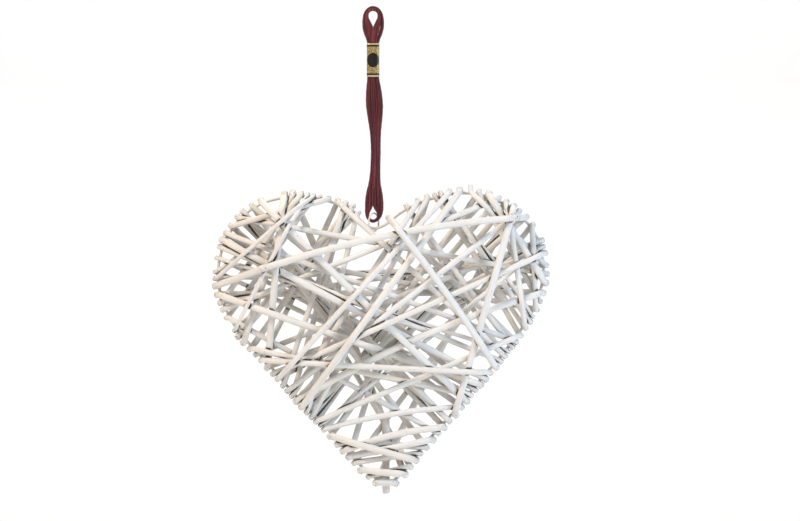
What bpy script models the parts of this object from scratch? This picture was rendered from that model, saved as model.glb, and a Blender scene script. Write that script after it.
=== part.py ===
"""Wicker heart ornament, hung by a skein of thread.

A wire frame bent to a heart is wound on both faces with painted willow rods. Each
rod crosses a face, turns over the wire, and comes back across the other face. A small
ring links the notch of the heart to the lower eye of a skein of thread, and the
skein's upper eye takes the nail or hook.

The heart stands in the XZ plane with its front towards -Y. The origin is the top of
the skein's upper eye. Lengths are in metres.
"""
import bmesh
import bpy
import math
import numpy as np
from mathutils import Vector

COLLECTION = "wicker_heart_ornament"

# Heart frame: hand-chosen points on the wire's centre line, x and z
NOTCH = (0.0010, -0.1611)
TIP = (0.0095, -0.3522)
LEFT_LOBE = [NOTCH, (-0.0085, -0.1557), (-0.0156, -0.1477), (-0.0346, -0.1405),
             (-0.0610, -0.1375), (-0.0904, -0.1468), (-0.1092, -0.1695), (-0.1151, -0.1943),
             (-0.1037, -0.2316), (-0.0813, -0.2575), (-0.0533, -0.2895), (-0.0273, -0.3165),
             (-0.0053, -0.3405), TIP]
RIGHT_LOBE = [TIP, (0.0174, -0.3464), (0.0343, -0.3255), (0.0568, -0.3005),
              (0.0803, -0.2726), (0.1033, -0.2451), (0.1202, -0.2182), (0.1266, -0.1922),
              (0.1212, -0.1667), (0.1005, -0.1449), (0.0729, -0.1350), (0.0432, -0.1390),
              (0.0188, -0.1505), (0.0098, -0.1577), NOTCH]
WIRE_RADIUS = 0.0011

# Willow rods: widths of the oval section, and its thickness as a share of the width
THICK = 0.0051
MIDDLE = 0.0042
THIN = 0.0032
FLATNESS = 0.78
ROD_SIDES = 5
GAP = 0.00035

# The front passes, read off the ornament: the two stations on the frame that a rod
# runs between, its width, and how far it bows in the plane of the heart. A station is
# a place on the wire in hundredths of its length, from the notch down the left lobe
# to the tip at 50 and up the right lobe back to the notch. The last few are the
# outermost, in this order.
FRONT_PASSES = [
    (42.6, 57.2, THICK, 0), (80.5, 30.3, MIDDLE, 0), (14.7, 58.0, MIDDLE, 0),
    (95.2, 71.9, THIN, 0.004), (73.2, 90.6, MIDDLE, 0), (62.1, 13.6, MIDDLE, 0),
    (54.7, 48.6, MIDDLE, 0), (55.3, 24.5, MIDDLE, 0), (4.0, 29.7, THICK, 0),
    (96.0, 69.3, MIDDLE, 0), (92.7, 70.9, MIDDLE, 0), (8.8, 31.0, THICK, 0),
    (5.0, 21.5, THIN, 0), (37.7, 93.3, MIDDLE, 0), (41.7, 92.3, MIDDLE, 0),
    (15.4, 77.0, MIDDLE, 0), (4.1, 19.0, MIDDLE, 0), (24.5, 84.5, MIDDLE, 0),
    (45.2, 56.6, MIDDLE, 0), (72.0, 85.0, MIDDLE, 0), (5.9, 37.0, MIDDLE, 0),
    (20.0, 68.9, THIN, 0), (42.3, 79.9, THIN, 0), (91.6, 75.6, MIDDLE, 0),
    (3.0, 39.8, MIDDLE, 0), (36.1, 78.0, THICK, 0.007), (5.6, 22.3, THIN, 0),
    (12.6, 60.1, THICK, 0), (7.4, 68.1, MIDDLE, 0), (9.6, 35.0, THICK, 0),
    (18.3, 67.0, MIDDLE, 0), (16.4, 72.4, MIDDLE, 0), (87.5, 74.3, THICK, 0),
    (17.2, 64.8, THICK, 0), (49.2, 50.9, THICK, 0), (40.2, 62.9, MIDDLE, 0.003),
    (8.3, 26.8, MIDDLE, 0), (31.7, 79.3, MIDDLE, 0), (45.1, 57.4, THICK, 0),
    (83.8, 35.5, MIDDLE, 0), (30.3, 66.4, MIDDLE, 0), (8.0, 28.4, THIN, 0),
    (23.4, 63.9, THICK, 0), (85.9, 58.1, THICK, 0), (38.7, 73.4, MIDDLE, 0),
    (29.1, 61.7, MIDDLE, 0), (87.3, 70.2, MIDDLE, 0), (44.3, 60.9, THICK, 0.003),
    (39.4, 88.2, THICK, 0), (33.3, 88.4, MIDDLE, 0), (41.0, 54.6, THICK, 0),
    (23.1, 82.0, THICK, 0.009), (98.1, 65.8, THICK, 0.002), (46.9, 53.5, THICK, 0),
]
OUTERMOST = 7
BACK_PASSES = 34
LONGEST_ROD = 5
SEED = 7
# Stretches of the wire without contacts: where the skein hangs, and at the tip's butt
KEPT_CLEAR = ((98.1, 102.35), (49.0, 51.0))
# Stations of cut ends that stand proud of the wire instead of turning over it
PROUD_ENDS = (91.6,)
PROUD_LENGTH = 0.0065

# A thick rod's butt, tucked in behind the tip
PEG_DIAMETER = 0.006
PEG_TOP = -0.3020
PEG_END = -0.3580

# Hanging ring, turned so that it passes through the skein's eye and under the wire
RING_WIRE = 0.00065
RING_YAW = math.radians(58)
RING_X = 0.0005
EYE_SEAT = -0.1496

# Skein of thread: half widths down its length, its two eyes, and its depth
SKEIN_PROFILE = [(0.0000, 0.0045), (0.0030, 0.0040), (0.0055, 0.0020), (0.0072, -0.0020),
                 (0.0080, -0.0070), (0.0079, -0.0120), (0.0066, -0.0165), (0.0048, -0.0205),
                 (0.0040, -0.0240), (0.0040, -0.0470), (0.0045, -0.0520), (0.0059, -0.0610),
                 (0.0064, -0.0700), (0.0055, -0.0800), (0.0043, -0.0890), (0.0037, -0.0980),
                 (0.0037, -0.1190), (0.0045, -0.1280), (0.0062, -0.1345), (0.0074, -0.1420),
                 (0.0075, -0.1470), (0.0068, -0.1515), (0.0048, -0.1550), (0.0022, -0.1567),
                 (0.0000, -0.1570)]
UPPER_EYE = [(0.0000, 0.0000), (0.0024, -0.0010), (0.0035, -0.0034), (0.0026, -0.0060),
             (0.0010, -0.0092), (0.0000, -0.0124)]
LOWER_EYE = [(0.0000, -0.1436), (0.0009, -0.1462), (0.0028, -0.1492), (0.0034, -0.1514),
             (0.0025, -0.1534), (0.0000, -0.1543)]
SKEIN_HALF_DEPTH = 0.0030
SKEIN_ROUNDING = 0.0012

# Paper band round the skein
BAND_TOP = -0.0238
BAND_BOTTOM = -0.0488
BAND_HALF_WIDTH = 0.0047
BAND_HALF_DEPTH = 0.0037
BAND_PAPER = 0.00032
BAND_CORNER = 0.0016

# Winding: how contacts and crossings are kept apart
SAMPLE = 0.002
NEAR_FRAME = 0.009
CONTACT_ZONE = 0.0014
LEAN_COUNTED = 0.78
FURTHEST_SWAP = 3.0
SEGMENT = 0.030
ORDER_TRIES = 450

# What the search for an order counts: steep climbs, and the stack's height in mm
EASY_CLIMB = 0.7
CLIMB_COST = 3.0
HIGHEST_COST = 0.35
MEAN_COST = 0.3
MOVED_FORWARD = 14
MOVED_BACK = 8

# Back passes: which contacts they may join, and what makes one better than another
LIKE_WIDTHS = 0.0012
SHORTEST_BACK = 0.06
USUAL_BACK = 0.16
BACK_INSIDE = 0.007
STEEPEST_LEAN = 0.88
LEAN_COST = 1.5
LENGTH_COST = 4.0

# Turns over the wire: the angles of a rod's rings, in degrees from front to back
OVER_WIRE = (67.5, 112.5)
TUCKED_BEHIND = 152


def frame_half(points, before, after, steps=24):
    """A smooth curve through the points of one half of the frame."""
    pts = [np.array(p) for p in [before] + points + [after]]
    out = []
    for p0, p1, p2, p3 in zip(pts, pts[1:], pts[2:], pts[3:]):
        span = np.linalg.norm(p2 - p1)
        start = chord_tangent(p0, p1, p2) * span
        end = chord_tangent(p1, p2, p3) * span
        for k in range(steps):
            t = k / steps
            out.append((2 * t**3 - 3 * t**2 + 1) * p1 + (t**3 - 2 * t**2 + t) * start
                       + (3 * t**2 - 2 * t**3) * p2 + (t**3 - t**2) * end)
    out.append(pts[-2])
    return np.array(out)


def chord_tangent(a, b, c):
    """The curve's direction at b, weighted towards its nearer neighbour."""
    first = np.linalg.norm(b - a)
    second = np.linalg.norm(c - b)
    return ((b - a) / first * second + (c - b) / second * first) / (first + second)


class Frame:
    """The heart-shaped wire, addressed by station from 0 to 100."""

    def __init__(self):
        tip = np.array(TIP)
        self.halves = [
            frame_half(LEFT_LOBE, RIGHT_LOBE[-2], tuple(2 * tip - np.array(LEFT_LOBE[-2]))),
            frame_half(RIGHT_LOBE, tuple(2 * tip - np.array(RIGHT_LOBE[1])), LEFT_LOBE[1]),
        ]
        self.runs = []
        for half in self.halves:
            steps = np.linalg.norm(np.diff(half, axis=0), axis=1)
            self.runs.append(np.concatenate([[0], np.cumsum(steps)]))
        self.length = self.runs[0][-1] + self.runs[1][-1]
        self.unit = self.length / 100
        self.outline = np.array([self.at(s) for s in np.linspace(0, 100, 360, endpoint=False)])

    def at(self, station):
        station = station % 100
        half = 0 if station <= 50 else 1
        run = self.runs[half]
        along = (station - 50 * half) / 50 * run[-1]
        line = self.halves[half]
        return np.array([np.interp(along, run, line[:, 0]), np.interp(along, run, line[:, 1])])

    def tangent(self, station):
        step = self.at(station + 0.3) - self.at(station - 0.3)
        return step / np.linalg.norm(step)

    def outward(self, station):
        """Stations run anticlockwise seen from the front, so outward is to the right."""
        along = self.tangent(station)
        return np.array([along[1], -along[0]])

    def clearance(self, points):
        """Distance from points to the wire, negative outside the heart."""
        x, z = points[:, 0][:, None], points[:, 1][:, None]
        xi, zi = self.outline[:, 0], self.outline[:, 1]
        xj, zj = np.roll(xi, 1), np.roll(zi, 1)
        rise = np.where(np.abs(zj - zi) < 1e-12, 1e-12, zj - zi)
        crossed = ((zi > z) != (zj > z)) & (x < (xj - xi) * (z - zi) / rise + xi)
        within = crossed.sum(axis=1) % 2 == 1
        near = np.sqrt((x - xi)**2 + (z - zi)**2).min(axis=1)
        return np.where(within, near, -near)


def turn_radius(width):
    """From the wire's centre to the centre of a rod that turns over it."""
    return WIRE_RADIUS + GAP + width * FLATNESS / 2


def plan_line(frame, start, end, width, bow):
    """A pass seen from the front: a straight or bowed line between two contacts."""
    reach = turn_radius(width) * math.tan(math.pi / 8)
    a = frame.at(start) + frame.outward(start) * reach
    b = frame.at(end) + frame.outward(end) * reach
    if bow == 0:
        return np.array([a, b])
    side = np.array([-(b - a)[1], (b - a)[0]]) / np.linalg.norm(b - a)
    side = side if side[1] > 0 else -side
    t = np.linspace(0, 1, 7)[:, None]
    return a + (b - a) * t + side * bow * 4 * t * (1 - t)


def slant(frame, station, line, at_start):
    """Sine of the angle between a pass and the wire's own normal."""
    way = line[1] - line[0] if at_start else line[-2] - line[-1]
    return abs(np.dot(way / np.linalg.norm(way), frame.tangent(station)))


def meeting(p, q):
    """Where two passes cross: the distance along each, and their lengths."""
    a, b, c, d = p[0], p[-1], q[0], q[-1]
    r, s = b - a, d - c
    turn = r[0] * s[1] - r[1] * s[0]
    if abs(turn) < 1e-12:
        return None
    t = ((c - a)[0] * s[1] - (c - a)[1] * s[0]) / turn
    w = ((c - a)[0] * r[1] - (c - a)[1] * r[0]) / turn
    if not (0 < t < 1 and 0 < w < 1):
        return None
    first, second = np.linalg.norm(r), np.linalg.norm(s)
    return t * first, w * second, first, second


def spread_contacts(stations, half_widths, wanted, unit, rounds=300):
    """Pushes contacts apart along the wire to their widths, keeping their order."""
    stations = stations.copy()
    order = np.argsort(stations)
    for _ in range(rounds):
        stations += 0.02 * (wanted - stations)
        for here, there in zip(order, np.roll(order, -1)):
            wrap = 100 if there == order[0] else 0
            lap = (half_widths[here] + half_widths[there]) / unit - (
                stations[there] + wrap - stations[here])
            if lap > 0:
                stations[here] -= lap / 2
                stations[there] += lap / 2
        keep_clear(stations)
    return stations


def keep_clear(stations):
    """Moves contacts out of the stretches of the wire that have to stay clear."""
    for low, high in KEPT_CLEAR:
        away = (stations - (low + high) / 2 + 50) % 100 - 50
        inside = np.abs(away) < (high - low) / 2
        stations[inside] += (np.sign(away) * (high - low) / 2 - away)[inside]


def settle_contacts(frame):
    """The stations of the front passes' ends, spread apart and uncrossed near the wire."""
    wanted = np.array([s % 100 for p in FRONT_PASSES for s in p[:2]])
    widths = np.array([p[2] for p in FRONT_PASSES for _ in range(2)])
    stations, first = wanted.copy(), wanted.copy()
    for _ in range(12):
        lines = front_lines(frame, stations)
        lean = np.array([slant(frame, stations[2 * i + e], line, e == 0)
                         for i, line in enumerate(lines) for e in range(2)])
        room = 0.5 * widths / np.sqrt(1 - np.minimum(lean, LEAN_COUNTED)**2) + 0.0004
        stations = spread_contacts(stations, room, wanted, frame.unit)
        if not uncross(front_lines(frame, stations), stations, wanted, first):
            break
    return stations


def front_lines(frame, stations):
    return [plan_line(frame, stations[2 * i], stations[2 * i + 1], p[2], p[3])
            for i, p in enumerate(FRONT_PASSES)]


def uncross(lines, stations, wanted, first):
    """Swaps contacts whose passes cross too close to the wire to climb over each other.

    A swap that would take a contact far from the place it was first given is left out.
    """
    tight = []
    for i in range(len(lines)):
        for j in range(i + 1, len(lines)):
            hit = meeting(lines[i], lines[j])
            if hit is None:
                continue
            under = min(hit[0], hit[2] - hit[0])
            over = min(hit[1], hit[3] - hit[1])
            if over < NEAR_FRAME and under < NEAR_FRAME * 1.3:
                tight.append((over, 2 * i + int(hit[0] > hit[2] / 2),
                              2 * j + int(hit[1] > hit[3] / 2)))
    moved = set()
    for _, a, b in sorted(tight):
        far = max(abs(stations[b] - first[a]), abs(stations[a] - first[b]))
        if a in moved or b in moved or far > FURTHEST_SWAP:
            continue
        stations[a], stations[b] = stations[b], stations[a]
        middle = (wanted[a] + wanted[b]) / 2
        wanted[a] = middle + 0.005 * np.sign(stations[a] - stations[b])
        wanted[b] = middle - 0.005 * np.sign(stations[a] - stations[b])
        moved |= {a, b}
    return bool(moved)


def choose_back(frame, stations):
    """Joins front contacts in pairs by back passes, so that each rod goes on behind."""
    dice = np.random.default_rng(SEED)
    ends = len(stations)
    widths = [FRONT_PASSES[e // 2][2] for e in range(ends)]
    choices = []
    for e in range(ends):
        for f in range(e + 1, ends):
            if e // 2 == f // 2 or abs(widths[e] - widths[f]) > LIKE_WIDTHS:
                continue
            width = (widths[e] + widths[f]) / 2
            line = plan_line(frame, stations[e], stations[f], width, 0)
            length = np.linalg.norm(line[1] - line[0])
            lean = max(slant(frame, stations[e], line, True),
                       slant(frame, stations[f], line, False))
            if length < SHORTEST_BACK or lean > STEEPEST_LEAN or beside_peg(line):
                continue
            inner = line[0] + (line[1] - line[0]) * np.linspace(0.12, 0.88, 25)[:, None]
            if frame.clearance(inner).min() < BACK_INSIDE:
                continue
            cost = LEAN_COST * lean + LENGTH_COST * abs(length - USUAL_BACK)
            choices.append((dice.random() + cost, e, f, line))
    chain = list(range(len(FRONT_PASSES)))
    size = [1] * len(FRONT_PASSES)
    used, picked = set(), []
    for _, e, f, line in sorted(choices, key=lambda c: c[0]):
        a, b = chain[e // 2], chain[f // 2]
        if e in used or f in used or a == b or size[a] + size[b] + 1 > LONGEST_ROD:
            continue
        if any(crosses_near_end(line, other[2]) for other in picked):
            continue
        size[a] += size[b] + 1
        chain = [a if c == b else c for c in chain]
        used |= {e, f}
        picked.append((e, f, line))
        if len(picked) == BACK_PASSES:
            break
    return picked


def beside_peg(line):
    """Whether a pass ends against the butt behind the tip."""
    return any(abs(x - TIP[0]) < PEG_DIAMETER and z < PEG_TOP for x, z in line)


def crosses_near_end(p, q):
    hit = meeting(p, q)
    if hit is None:
        return False
    return min(hit[0], hit[2] - hit[0], hit[1], hit[3] - hit[1]) < NEAR_FRAME


class Face:
    """One face of the heart: its passes are laid one over another as taut strings."""

    def __init__(self, lines, widths, obstacles=()):
        self.lines, self.widths = lines, widths
        self.along, self.points = [], []
        for line in lines:
            along, points = sampled(line)
            self.along.append(along)
            self.points.append(points)
        self.start = [turn_radius(w) for w in widths]
        self.corners = [int(np.clip(round(a[-1] / SEGMENT), 3, 8)) + 1 for a in self.along]
        self.floor = []
        for k, along in enumerate(self.along):
            low = np.full(len(along), self.start[k])
            for points, height, width in obstacles:
                mine, theirs, rise = self.rises(self.points[k], points, widths[k], width)
                np.maximum.at(low, mine, height[theirs] + rise)
            self.floor.append(low)
        self.laid = {}
        self.lifts = {}
        for i in range(len(lines)):
            for j in range(i):
                mine, theirs, rise = self.rises(self.points[i], self.points[j],
                                                widths[i], widths[j])
                if len(mine):
                    self.lifts[i, j] = (mine, theirs, rise)
                    self.lifts[j, i] = (theirs, mine, rise)

    @staticmethod
    def rises(points, others, width, other_width):
        """How far one rod must be above another wherever their ovals would meet."""
        away = np.sqrt(((points[:, None] - others[None])**2).sum(axis=2))
        reach = (width + other_width) / 2 + GAP
        mine, theirs = np.nonzero(away < reach)
        full = FLATNESS * (width + other_width) / 2 + GAP
        return mine, theirs, full * np.sqrt(1 - (away[mine, theirs] / reach)**2)

    def lay(self, order):
        """Heights of all passes above the heart's plane, laid in this order."""
        corners, heights = {}, {}
        for k in order:
            along = self.along[k]
            low = self.floor[k].copy()
            for other, height in heights.items():
                if (k, other) in self.lifts:
                    mine, theirs, rise = self.lifts[k, other]
                    np.maximum.at(low, mine, height[theirs] + rise)
            low[(along < CONTACT_ZONE) | (along > along[-1] - CONTACT_ZONE)] = self.start[k]
            corners[k] = fewer_corners(taut(along, low), self.corners[k])
            heights[k] = np.interp(along, corners[k][:, 0], corners[k][:, 1])
        return corners

    def cost(self, corners):
        """Steep climbs at the wire and a thick stack both count against an order."""
        climbs = {}
        for k, line in corners.items():
            first = (line[1, 1] - line[0, 1]) / (line[1, 0] - line[0, 0])
            last = (line[-2, 1] - line[-1, 1]) / (line[-1, 0] - line[-2, 0])
            climbs[k] = max(first, last, 0.0)
        highest = [line[:, 1].max() * 1000 for line in corners.values()]
        steep = sum(max(0.0, min(c, 4.0) - EASY_CLIMB)**2 for c in climbs.values())
        score = CLIMB_COST * steep + HIGHEST_COST * max(highest) + MEAN_COST * np.mean(highest)
        return score, climbs

    def find_order(self, kept=0):
        """Moves steeply climbing passes to another turn, but none of the last kept."""
        dice = np.random.default_rng(SEED)
        order = list(range(len(self.lines)))
        free = len(order) - kept
        self.laid = self.lay(order)
        best, climbs = self.cost(self.laid)
        for _ in range(ORDER_TRIES):
            weights = np.array([np.clip(climbs[k] - 0.5, 0.05, 3.0) for k in order[:free]])
            place = dice.choice(free, p=weights / weights.sum())
            trial = order[:]
            moved = trial.pop(place)
            place = np.clip(place + dice.integers(-MOVED_FORWARD, MOVED_BACK + 1), 0, free - 1)
            trial.insert(int(place), moved)
            laid = self.lay(trial)
            score, trial_climbs = self.cost(laid)
            if score < best:
                best, climbs, order, self.laid = score, trial_climbs, trial, laid


def sampled(line):
    """Points every couple of millimetres along a plan line."""
    steps = np.linalg.norm(np.diff(line, axis=0), axis=1)
    run = np.concatenate([[0], np.cumsum(steps)])
    along = np.linspace(0, run[-1], max(5, int(round(run[-1] / SAMPLE)) + 1))
    return along, np.stack([np.interp(along, run, line[:, k]) for k in range(2)], axis=1)


def taut(along, low):
    """The tightest string over a row of heights: their upper hull."""
    hull = []
    for point in zip(along, low):
        while len(hull) >= 2 and turns_up(hull[-2], hull[-1], point):
            hull.pop()
        hull.append(point)
    return hull


def turns_up(a, b, c):
    return (b[0] - a[0]) * (c[1] - a[1]) - (b[1] - a[1]) * (c[0] - a[0]) >= 0


def fewer_corners(line, most):
    """Drops the edges of a taut line that add least when their neighbours meet."""
    line = list(line)
    while len(line) > most:
        best = None
        for i in range(1, len(line) - 2):
            (x0, y0), (x1, y1), (x2, y2), (x3, y3) = line[i - 1:i + 3]
            before, after = (y1 - y0) / (x1 - x0), (y3 - y2) / (x3 - x2)
            if abs(before - after) < 1e-9:
                x, y = (x1 + x2) / 2, (y1 + y2) / 2
            else:
                x = (y2 - y1 + before * x1 - after * x2) / (before - after)
                y = y1 + before * (x - x1)
            added = (y - np.interp(x, [x1, x2], [y1, y2])) * (x2 - x1)
            if x1 <= x <= x2 and (best is None or added < best[0]):
                best = (added, i, x, y)
        if best is None:
            break
        _, i, x, y = best
        line[i:i + 2] = [(x, y)]
    return np.array(line)


def rod_paths(frame, stations, front, back_pairs, back):
    """Joins passes into rods: each is a list of ring centres with their up and width."""
    after = {}
    for k, (e, f, _) in enumerate(back_pairs):
        after[e] = (k, f, True)
        after[f] = (k, e, False)
    rods, seen = [], set()
    for end in range(len(stations)):
        if end in after or end // 2 in seen:
            continue
        here, rod = end, cut_end(frame, stations, end)
        while True:
            seen.add(here // 2)
            there = here ^ 1
            rod += pass_rings(front, here // 2, here % 2 == 0, -1)
            if there not in after:
                rod += cut_end(frame, stations, there)[::-1]
                break
            k, following, forward = after[there]
            rod += turn(frame, stations, there, back.widths[k])
            rod += pass_rings(back, k, forward, 1)
            rod += turn(frame, stations, following, back.widths[k])[::-1]
            here = following
        rods.append(rod)
    return rods


def pass_rings(face, k, forward, side):
    """Ring centres along one pass, at the corners of its plan and of its taut string."""
    line = face.lines[k]
    steps = np.linalg.norm(np.diff(line, axis=0), axis=1)
    run = np.concatenate([[0], np.cumsum(steps)])
    corners = face.laid[k]
    places = list(corners[:, 0])
    for bend in run[1:-1]:
        if min(abs(bend - p) for p in places) > NEAR_FRAME:
            places.append(bend)
    rings = []
    for s in sorted(places):
        x, z = np.interp(s, run, line[:, 0]), np.interp(s, run, line[:, 1])
        height = np.interp(s, corners[:, 0], corners[:, 1])
        rings.append((Vector((x, side * height, z)), Vector((0, side, 0)), face.widths[k]))
    return rings if forward else rings[::-1]


def round_wire(frame, station, width, angle):
    """A ring centre on the turn over the wire; the angle runs from front to back."""
    angle = math.radians(angle)
    radius = turn_radius(width) / math.cos(math.pi / 8)
    x, z = frame.at(station)
    nx, nz = frame.outward(station)
    up = Vector((nx * math.sin(angle), -math.cos(angle), nz * math.sin(angle)))
    return Vector((x, 0, z)) + up * radius, up, width


def turn(frame, stations, end, back_width):
    width = (FRONT_PASSES[end // 2][2] + back_width) / 2
    return [round_wire(frame, stations[end], width, angle) for angle in OVER_WIRE]


def cut_end(frame, stations, end):
    """A free end: turned over the wire to the back, or left standing proud of it."""
    width = FRONT_PASSES[end // 2][2]
    wanted = FRONT_PASSES[end // 2][end % 2]
    if wanted in PROUD_ENDS:
        x, z = frame.at(stations[end]) + frame.outward(stations[end]) * PROUD_LENGTH
        return [(Vector((x, -turn_radius(width), z)), Vector((0, -1, 0)), width)]
    return [round_wire(frame, stations[end], width, angle)
            for angle in (TUCKED_BEHIND, *OVER_WIRE[::-1])]


def loft_rod(name, rings):
    """An oval rod, lofted because a curve's bevel can't keep its flat side to the wire."""
    bm = bmesh.new()
    loops = []
    for i, (centre, up, width) in enumerate(rings):
        before = (centre - rings[max(i - 1, 0)][0]).normalized()
        ahead = (rings[min(i + 1, len(rings) - 1)][0] - centre).normalized()
        along = (before + ahead).normalized()
        side = along.cross(up).normalized()
        rise = side.cross(along).normalized()
        loop = []
        for j in range(ROD_SIDES):
            angle = 2 * math.pi * (j + 0.5) / ROD_SIDES
            out = side * math.cos(angle) + rise * math.sin(angle) * FLATNESS
            loop.append(bm.verts.new(centre + out * width / 2))
        loops.append(loop)
    for near, far in zip(loops, loops[1:]):
        for j in range(ROD_SIDES):
            k = (j + 1) % ROD_SIDES
            bm.faces.new((near[j], near[k], far[k], far[j]))
    bm.faces.new(loops[0][::-1])
    bm.faces.new(loops[-1])
    bmesh.ops.recalc_face_normals(bm, faces=bm.faces)
    mesh = bpy.data.meshes.new(name)
    bm.to_mesh(mesh)
    bm.free()
    mesh.shade_smooth()
    mesh.set_sharp_from_angle(angle=math.radians(65))
    return bpy.data.objects.new(name, mesh)


def make_frame_wire(frame):
    """The bare wire heart, a closed tube with a corner at every eighth curve step."""
    points = np.vstack([half[:-1:8] for half in frame.halves])
    curve = bpy.data.curves.new("frame_wire", "CURVE")
    curve.dimensions = "3D"
    curve.bevel_depth = WIRE_RADIUS
    curve.bevel_resolution = 1
    spline = curve.splines.new("POLY")
    spline.points.add(len(points) - 1)
    for point, (x, z) in zip(spline.points, points):
        point.co = (x, 0, z, 1)
    spline.use_cyclic_u = True
    return bpy.data.objects.new("frame_wire", curve)


def make_tip_peg():
    bm = bmesh.new()
    bmesh.ops.create_cone(bm, cap_ends=True, segments=10, radius1=PEG_DIAMETER / 2,
                          radius2=PEG_DIAMETER / 2, depth=PEG_TOP - PEG_END)
    mesh = bpy.data.meshes.new("tip_peg")
    bm.to_mesh(mesh)
    bm.free()
    peg = bpy.data.objects.new("tip_peg", mesh)
    peg.location = (TIP[0], peg_depth(), (PEG_TOP + PEG_END) / 2)
    return peg


def peg_depth():
    return WIRE_RADIUS + GAP + PEG_DIAMETER / 2


def make_hanging_ring():
    low = NOTCH[1] - WIRE_RADIUS - GAP - RING_WIRE
    bpy.ops.mesh.primitive_torus_add(major_segments=18, minor_segments=6,
                                     major_radius=(EYE_SEAT - low) / 2,
                                     minor_radius=RING_WIRE)
    ring = bpy.context.object
    ring.name = "hanging_ring"
    ring.rotation_euler = (math.pi / 2, 0, RING_YAW)
    ring.location = (RING_X, 0, (EYE_SEAT + low) / 2)
    return ring


def flat_curve(name, outlines, half_depth, rounding=0.0):
    """A flat plate between outlines, with rounded edges and its own outlines kept."""
    curve = bpy.data.curves.new(name, "CURVE")
    curve.dimensions = "2D"
    curve.fill_mode = "BOTH"
    curve.extrude = half_depth - rounding
    curve.bevel_depth = rounding
    curve.bevel_resolution = 0
    curve.offset = -rounding
    for outline in outlines:
        spline = curve.splines.new("POLY")
        spline.points.add(len(outline) - 1)
        for point, (x, y) in zip(spline.points, outline):
            point.co = (x, y, 0, 1)
        spline.use_cyclic_u = True
    return bpy.data.objects.new(name, curve)


def both_sides(half):
    """A closed outline from its right half, whose ends lie on the centre line."""
    return half + [(-x, y) for x, y in half[-2:0:-1]]


def make_skein():
    outlines = [both_sides(half) for half in (SKEIN_PROFILE, UPPER_EYE, LOWER_EYE)]
    skein = flat_curve("thread_skein", outlines, SKEIN_HALF_DEPTH, SKEIN_ROUNDING)
    skein.rotation_euler = (math.pi / 2, 0, 0)
    return skein


def rounded_box(half_width, half_depth, corner):
    outline = []
    for quarter in range(4):
        sx = 1 if quarter in (0, 3) else -1
        sy = 1 if quarter in (0, 1) else -1
        for step in range(4):
            angle = math.pi / 2 * (quarter + step / 3)
            outline.append((sx * (half_width - corner) + corner * math.cos(angle),
                            sy * (half_depth - corner) + corner * math.sin(angle)))
    return outline


def make_paper_band():
    outer = rounded_box(BAND_HALF_WIDTH, BAND_HALF_DEPTH, BAND_CORNER)
    inner = rounded_box(BAND_HALF_WIDTH - BAND_PAPER, BAND_HALF_DEPTH - BAND_PAPER,
                        BAND_CORNER - BAND_PAPER)
    band = flat_curve("paper_band", [outer, inner], (BAND_TOP - BAND_BOTTOM) / 2)
    band.location = (0, 0, (BAND_TOP + BAND_BOTTOM) / 2)
    return band


def as_mesh(thing):
    """Turns a curve object into a mesh object with its caps and seams welded."""
    bpy.context.scene.collection.objects.link(thing)
    bpy.context.view_layer.update()
    evaluated = thing.evaluated_get(bpy.context.evaluated_depsgraph_get())
    mesh = bpy.data.meshes.new_from_object(evaluated)
    bm = bmesh.new()
    bm.from_mesh(mesh)
    bmesh.ops.remove_doubles(bm, verts=bm.verts, dist=0.00001)
    bmesh.ops.recalc_face_normals(bm, faces=bm.faces)
    bm.to_mesh(mesh)
    bm.free()
    name = thing.name
    place = thing.matrix_world.copy()
    bpy.data.objects.remove(thing)
    solid = bpy.data.objects.new(name, mesh)
    solid.matrix_world = place
    return solid


def add_material(thing, name, colour, roughness, metallic=0.0):
    material = bpy.data.materials.get(name)
    if material is None:
        material = bpy.data.materials.new(name)
        material.use_nodes = True
        shader = material.node_tree.nodes["Principled BSDF"]
        shader.inputs["Base Color"].default_value = (*colour, 1)
        shader.inputs["Roughness"].default_value = roughness
        shader.inputs["Metallic"].default_value = metallic
    thing.data.materials.clear()
    thing.data.materials.append(material)


def collect(thing, home):
    for owner in list(thing.users_collection):
        owner.objects.unlink(thing)
    home.objects.link(thing)


def wind_rods(frame):
    """All the rods, wound front and back, as lists of rings."""
    stations = settle_contacts(frame)
    front = Face(front_lines(frame, stations), [p[2] for p in FRONT_PASSES])
    front.find_order(kept=OUTERMOST)
    pairs = choose_back(frame, stations)
    widths = [(FRONT_PASSES[e // 2][2] + FRONT_PASSES[f // 2][2]) / 2 for e, f, _ in pairs]
    back = Face([line for _, _, line in pairs], widths, [peg_obstacle()])
    back.find_order()
    return rod_paths(frame, stations, front, pairs, back)


def peg_obstacle():
    run = np.arange(PEG_END, PEG_TOP, SAMPLE)
    points = np.stack([np.full(len(run), TIP[0]), run], axis=1)
    return points, np.full(len(run), peg_depth()), PEG_DIAMETER / FLATNESS


def main():
    for thing in list(bpy.data.objects):
        bpy.data.objects.remove(thing)
    home = bpy.data.collections.new(COLLECTION)
    bpy.context.scene.collection.children.link(home)
    frame = Frame()
    rods = wind_rods(frame)
    for number, rings in enumerate(rods, start=1):
        rod = loft_rod(f"willow_rod_{number:02d}", rings)
        home.objects.link(rod)
        add_material(rod, "painted_willow", (0.80, 0.77, 0.72), 0.5)
    wire = as_mesh(make_frame_wire(frame))
    add_material(wire, "painted_wire", (0.78, 0.75, 0.70), 0.5, 0.3)
    peg = make_tip_peg()
    add_material(peg, "painted_willow", (0.80, 0.77, 0.72), 0.5)
    ring = make_hanging_ring()
    add_material(ring, "painted_wire", (0.78, 0.75, 0.70), 0.5, 0.3)
    skein = as_mesh(make_skein())
    add_material(skein, "maroon_thread", (0.16, 0.03, 0.04), 0.6)
    band = as_mesh(make_paper_band())
    add_material(band, "gold_paper", (0.45, 0.34, 0.16), 0.35, 0.2)
    for thing in (wire, peg, ring, skein, band):
        collect(thing, home)


main()
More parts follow.
